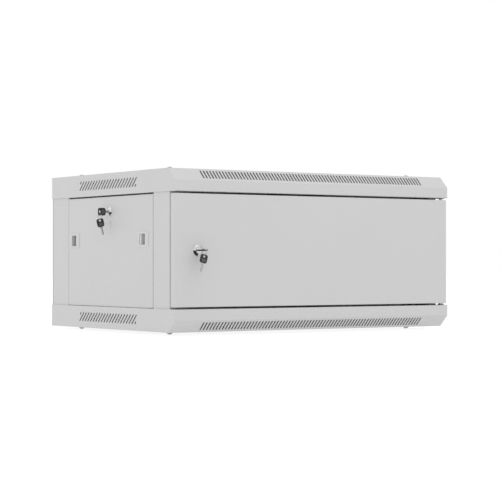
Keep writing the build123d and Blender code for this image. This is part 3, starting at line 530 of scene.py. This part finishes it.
def keyHead(place, eyeLength):
    # rings between the eye's edge and the outer edge, over the front, round the rim and back;
    # height is the half thickness less the field's recess, and quarter circles round the edges
    s = keyPlan
    around = 128
    angle = np.linspace(-math.pi, math.pi, around, endpoint=False)
    outer = roundedOutline(s["bowWidth"] / 2, s["bowLength"] / 2, s["bowCorner"], bowMiddle, angle)
    inner = roundedOutline(eyeLength / 2, s["eyeHeight"] / 2, s["eyeCorner"], 0, angle)
    half = s["bowThickness"] / 2
    r = s["edgeRound"]
    turn = np.linspace(0, math.pi / 2, 6)
    flat = np.linspace(0, 1, 34)[:, None]
    start = inner[None, :] + s["lipRound"]
    stop = outer[None, :] - r
    field = start + (stop - start) * flat
    frontZ = half - fieldDepth(field * np.cos(angle), field * np.sin(angle)) * s["recess"]
    rimOut = stop + r * np.sin(turn)[:, None]
    rimZ = (half - r + r * np.cos(turn))[:, None] * np.ones((1, around))
    lip = inner[None, :] + s["lipRound"] * (1 - np.sin(turn))[:, None]
    lipZ = (half - s["lipRound"] + s["lipRound"] * np.cos(turn))[:, None] * np.ones((1, around))
    radius = np.concatenate([lip[::-1], field[1:], rimOut[1:]])
    height = np.concatenate([lipZ[::-1], frontZ[1:], rimZ[1:]])
    radius = np.concatenate([radius, radius[::-1]])
    height = np.concatenate([height, -height[::-1]])
    grid = place.put(radius * np.cos(angle), height, keyEye + radius * np.sin(angle))
    return [surface(grid, True, True)]


def keyBlade(place):
    # a grooved section whose half width is cut back by wafer notches and ends in a point
    s = keyPlan
    along = np.linspace(s["bowStart"] + 0.001, -s["tip"], 120)
    half = np.full(along.shape, s["bladeWidth"] / 2)
    for at, cut in s["notches"]:
        half -= cut * smoothStep(1 - np.abs(along - at) / s["notchReach"])
    toTip = (along + s["tip"]) / s["point"]
    half = np.minimum(half, s["bladeWidth"] / 2 * np.clip(toTip, 0.12, 1))
    thick = s["bladeThickness"] / 2
    edge = thick * 0.35
    groove = thick * 0.45
    sectionX = np.array([1, 1, 0.8, 0.35, 0.2, -0.2, -0.35, -0.8, -1, -1,
                         -0.8, -0.35, -0.2, 0.2, 0.35, 0.8])
    sectionY = np.array([-edge, edge, thick, thick, groove, groove, thick, thick, edge, -edge,
                         -thick, -thick, -groove, -groove, -thick, -thick])
    x = half[:, None] * sectionX[None, :]
    y = np.ones_like(half)[:, None] * sectionY[None, :]
    grid = place.put(x, y, along[:, None])
    shapes = [surface(grid, False, True)]
    for end in (0, -1):
        middle = np.repeat(grid[end].mean(0)[None, :], grid.shape[1], axis=0)
        shapes.append(surface(np.stack([middle, grid[end]]), False, True))
    return shapes


def splitRing(centre):
    # nearly two turns of thin wire side by side, in a plane across X
    s = keyRing
    t = np.linspace(0, 2 * math.pi * s["turns"], 150)
    shift = (smoothStep((t / (2 * math.pi) - 0.80) / 0.35) - 0.5) * s["apart"]
    path = np.stack([centre[0] + shift, centre[1] + s["radius"] * np.sin(t + s["start"]),
                     centre[2] + s["radius"] * np.cos(t + s["start"])], axis=1)
    return tube(path, s["wire"])


def sparePlace(ringCentre, lean):
    # a frame that hangs from the ring's lowest point, leant by the tilt in the plane of X and Z
    tilt = math.radians(keyPlan["tilt"])
    up = np.array([lean * math.sin(tilt), 0, math.cos(tilt)])
    across = np.array([math.cos(tilt), 0, -lean * math.sin(tilt)])
    wire = np.array(ringCentre) - np.array([0, 0, keyRing["radius"]])
    return Place(wire - up * (keyEye + keyRing["hang"]), across, up)


ringCentres = {
    name: lockPlaces[name].origin + lockPlaces[name].out * keyEye + keyRing[name + "Centre"]
    for name in ("door", "left")
}
for name, lean in (("door", 1), ("left", -1)):
    place = lockPlaces[name]
    spare = sparePlace(ringCentres[name], lean)
    head = makePiece(name + "KeyHead", keyHead(place, keyPlan["eyeLength"]), blackPlastic,
                     name + "_key", (name + "_key_bow",))
    markField(head, place)
    makePiece(name + "KeyBlade", keyBlade(place), keyNickel, name + "_key",
              (name + "_key_blade",), 30)
    makePiece(name + "SplitRing", splitRing(ringCentres[name]), keyNickel, name + "_key",
              (name + "_key_ring",))
    head = makePiece(name + "SpareHead", keyHead(spare, keyPlan["spareEye"]), blackPlastic,
                     name + "_spare_key", (name + "_spare_key_bow",))
    markField(head, spare)
    makePiece(name + "SpareBlade", keyBlade(spare), keyNickel, name + "_spare_key",
              (name + "_spare_key_blade",), 30)
print("keys made")


# Spring of the upper hinge pin, wound at one length; the real one shortens as the pin is pulled
hingeSpring = {
    "x": 0.291, "y": -0.4415, "foot": 0.0573,  # squeezed towards its foot
    "low": 0.0578, "high": 0.09175,            # middle of the wire at both ends
    "radius": 0.0040, "wire": 0.00045, "turns": 7, "closedTurns": 1.1,
}


def springPath():
    # height against turns: two nearly flat ends joined by an even rise
    s = hingeSpring
    t = np.linspace(0, s["turns"], 420)
    flat = s["closedTurns"]
    rise = np.clip((t - flat) / (s["turns"] - 2 * flat), 0, 1)
    ends = 2 * s["wire"]
    z = s["low"] + ends * np.clip(t / flat, 0, 1)
    z = z + ends * np.clip((t - s["turns"] + flat) / flat, 0, 1)
    z = z + rise * (s["high"] - s["low"] - 2 * ends)
    return np.stack([s["x"] + s["radius"] * np.cos(2 * math.pi * t),
                     s["y"] + s["radius"] * np.sin(2 * math.pi * t), z], axis=1)


spring = makePiece("hingeSpringWound", tube(springPath(), hingeSpring["wire"]), zincPlate,
                   "door", ("hinge_spring",))
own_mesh(spring)
print("spring made")


# Earth stud with its thread
earthStud = {
    "x": 0.180, "y": -0.110, "floor": -0.139,  # on the sheet of the bottom cover
    "radius": 0.0030, "length": 0.016, "pitch": 0.0010, "thread": 0.00035, "end": 0.0006,
    "collar": 0.0055, "collarHeight": 0.0020,
}


def threadedStud(place, s):
    # collar, then a radius that saws with height and angle, then a blunt end
    around = 40
    angle = np.linspace(0, 2 * math.pi, around, endpoint=False)[None, :]
    up = np.linspace(s["collarHeight"], s["length"] - s["end"], 90)[:, None]
    saw = np.abs(((up / s["pitch"] + angle / (2 * math.pi)) % 1) - 0.5) * 2
    body = s["radius"] - s["thread"] * saw
    radius = np.concatenate([np.zeros((1, around)), np.full((2, around), s["collar"]), body,
                             np.full((1, around), s["radius"] * 0.75), np.zeros((1, around))])
    height = np.concatenate([[0, 0, s["collarHeight"]], up[:, 0], [s["length"]] * 2])[:, None]
    return [surface(place.put(radius * np.cos(angle), radius * np.sin(angle), height),
                    False, True)]


studPlace = Place((earthStud["x"], earthStud["y"], earthStud["floor"]), (1, 0, 0), (0, 0, 1))
makePiece("earthStudThreaded", threadedStud(studPlace, earthStud), zincPlate, "cabinet",
          ("earth_stud",), 35)
print("earth stud made")


# Floor and light
studio = {
    "floorZ": -0.1405 - 0.0056,             # under the heads of the lower cover screws
    "floorTone": 0.40, "tableGlow": 0.565,  # what the floor throws back and gives off
    "floorSeen": 0.30, "seenGlow": 0.80,    # the same floor as the camera sees it
    "worldStrength": 0.815,                 # on dull surfaces
    "keyPower": 23.4, "keyPlace": (0.20, -2.15, 2.65), "keySize": 2.8,
    "sidePower": 11.0, "sidePlace": (-3.3, 0.55, 0.60), "sideSize": 0.7,
    "lampsAimAt": (0, -0.225, 0),
}

world = bpy.data.worlds.new("studioWorld")
scene.world = world
world.use_nodes = True
worldTree = world.node_tree
background = worldTree.nodes["Background"]
background.inputs["Color"].default_value = (1, 1, 1, 1)
rays = worldTree.nodes.new("ShaderNodeLightPath")


def anyRay(tree, rayNode, kinds):
    # 1 where the ray is any of the kinds
    total = rayNode.outputs[kinds[0]]
    for kind in kinds[1:]:
        larger = tree.nodes.new("ShaderNodeMath")
        larger.operation = "MAXIMUM"
        tree.links.new(total, larger.inputs[0])
        tree.links.new(rayNode.outputs[kind], larger.inputs[1])
        total = larger.outputs["Value"]
    return total


# the world lights dull surfaces softly, and is white to the camera, in mirrors and through glass
seen = anyRay(worldTree, rays, ("Is Camera Ray", "Is Glossy Ray", "Is Transmission Ray"))
worldTree.links.new(
    addRange(worldTree, seen, 0, 1, studio["worldStrength"], 1.0),
    background.inputs["Strength"])

floorMaterial = bpy.data.materials.new("paleFloor")
floorMaterial.use_nodes = True
floorTree = floorMaterial.node_tree
for old in list(floorTree.nodes):
    floorTree.nodes.remove(old)


def glowingFloor(tone, glowStrength):
    # a dull grey that also gives off white light
    dull = floorTree.nodes.new("ShaderNodeBsdfDiffuse")
    dull.inputs["Color"].default_value = (tone,) * 3 + (1,)
    glow = floorTree.nodes.new("ShaderNodeEmission")
    glow.inputs["Color"].default_value = (1, 1, 1, 1)
    glow.inputs["Strength"].default_value = glowStrength
    both = floorTree.nodes.new("ShaderNodeAddShader")
    floorTree.links.new(dull.outputs[0], both.inputs[0])
    floorTree.links.new(glow.outputs[0], both.inputs[1])
    return both.outputs[0]


# The camera sees a white floor with the object's shadow. For all other rays it is a lit table,
# whose light hardly falls off in the object's own shadow.
floorOut = floorTree.nodes.new("ShaderNodeOutputMaterial")
floorRays = floorTree.nodes.new("ShaderNodeLightPath")
mix = floorTree.nodes.new("ShaderNodeMixShader")
floorTree.links.new(floorRays.outputs["Is Camera Ray"], mix.inputs["Fac"])
floorTree.links.new(glowingFloor(studio["floorTone"], studio["tableGlow"]), mix.inputs[1])
floorTree.links.new(glowingFloor(studio["floorSeen"], studio["seenGlow"]), mix.inputs[2])
floorTree.links.new(mix.outputs[0], floorOut.inputs["Surface"])

floorSpan = np.linspace(-14, 14, 5)
floorX, floorY = np.meshgrid(floorSpan, floorSpan, indexing="ij")
floorPoints, floorFaces = surface(
    np.stack([floorX, floorY, np.full_like(floorX, studio["floorZ"])], axis=-1), False, False)
floorMesh = bpy.data.meshes.new("studioFloor")
floorMesh.from_pydata(floorPoints.tolist(), [], floorFaces.tolist())
floorMesh.materials.append(floorMaterial)
floor = bpy.data.objects.new("studioFloor", floorMesh)
scene.collection.objects.link(floor)


def addLamp(name, place, size, power):
    # a round area lamp that faces lampsAimAt
    lampData = bpy.data.lights.new(name, "AREA")
    lampData.shape = "DISK"
    lampData.size = size
    lampData.energy = power
    lamp = bpy.data.objects.new(name, lampData)
    lamp.location = place
    toward = Vector(studio["lampsAimAt"]) - Vector(place)
    lamp.rotation_euler = toward.to_track_quat("-Z", "Y").to_euler()
    lamp.visible_glossy = False  # the white cards stand for it in mirrors
    scene.collection.objects.link(lamp)


# Cards that only mirrors see, as round the lock rims of the photograph: dark ones lie just
# above the floor, white ones stand high on the left and in front
cardPlan = {
    "height": -0.1200,
    "darkTone": 0.015,
    # x from, to, y from, to
    "darkAreas": ((-2.60, -0.20, -2.40, -0.455), (-2.60, -0.56, -0.455, 0.0)),
    # centre, half width; each faces the middle of the object
    "whiteCards": (((-2.30, 0.40, 2.20), 0.75), ((0.01, -1.41, 2.23), 0.50)),
    "whiteStrength": 1.35,
}


def mirrorCards(name, points, material):
    # one mesh of four-sided cards, from their corners in turn
    mesh = bpy.data.meshes.new(name)
    mesh.from_pydata(points, [], [list(range(k, k + 4)) for k in range(0, len(points), 4)])
    mesh.materials.append(material)
    cards = bpy.data.objects.new(name, mesh)
    cards.visible_camera = False
    cards.visible_diffuse = False
    cards.visible_shadow = False
    cards.visible_transmission = False
    scene.collection.objects.link(cards)


darkMaterial, _, darkShader = newMaterial("darkCard")
darkShader.inputs["Base Color"].default_value = (cardPlan["darkTone"],) * 3 + (1,)
darkShader.inputs["Roughness"].default_value = 0.9
darkPoints = []
for xFrom, xTo, yFrom, yTo in cardPlan["darkAreas"]:
    for x, y in ((xFrom, yFrom), (xTo, yFrom), (xTo, yTo), (xFrom, yTo)):
        darkPoints.append((x, y, cardPlan["height"]))
mirrorCards("darkCards", darkPoints, darkMaterial)

whiteMaterial, _, whiteShader = newMaterial("whiteCard")
whiteShader.inputs["Base Color"].default_value = (0, 0, 0, 1)
whiteShader.inputs["Emission Color"].default_value = (1, 1, 1, 1)
whiteShader.inputs["Emission Strength"].default_value = cardPlan["whiteStrength"]
whitePoints = []
for centre, half in cardPlan["whiteCards"]:
    centre = Vector(centre)
    across = Vector((0, 0, 1)).cross(centre).normalized() * half
    upward = centre.cross(across).normalized() * half
    for a, b in ((-1, -1), (1, -1), (1, 1), (-1, 1)):
        whitePoints.append(tuple(centre + a * across + b * upward))
mirrorCards("whiteCards", whitePoints, whiteMaterial)

addLamp("keyLamp", studio["keyPlace"], studio["keySize"], studio["keyPower"])
addLamp("sideLamp", studio["sidePlace"], studio["sideSize"], studio["sidePower"])
print("studio made")
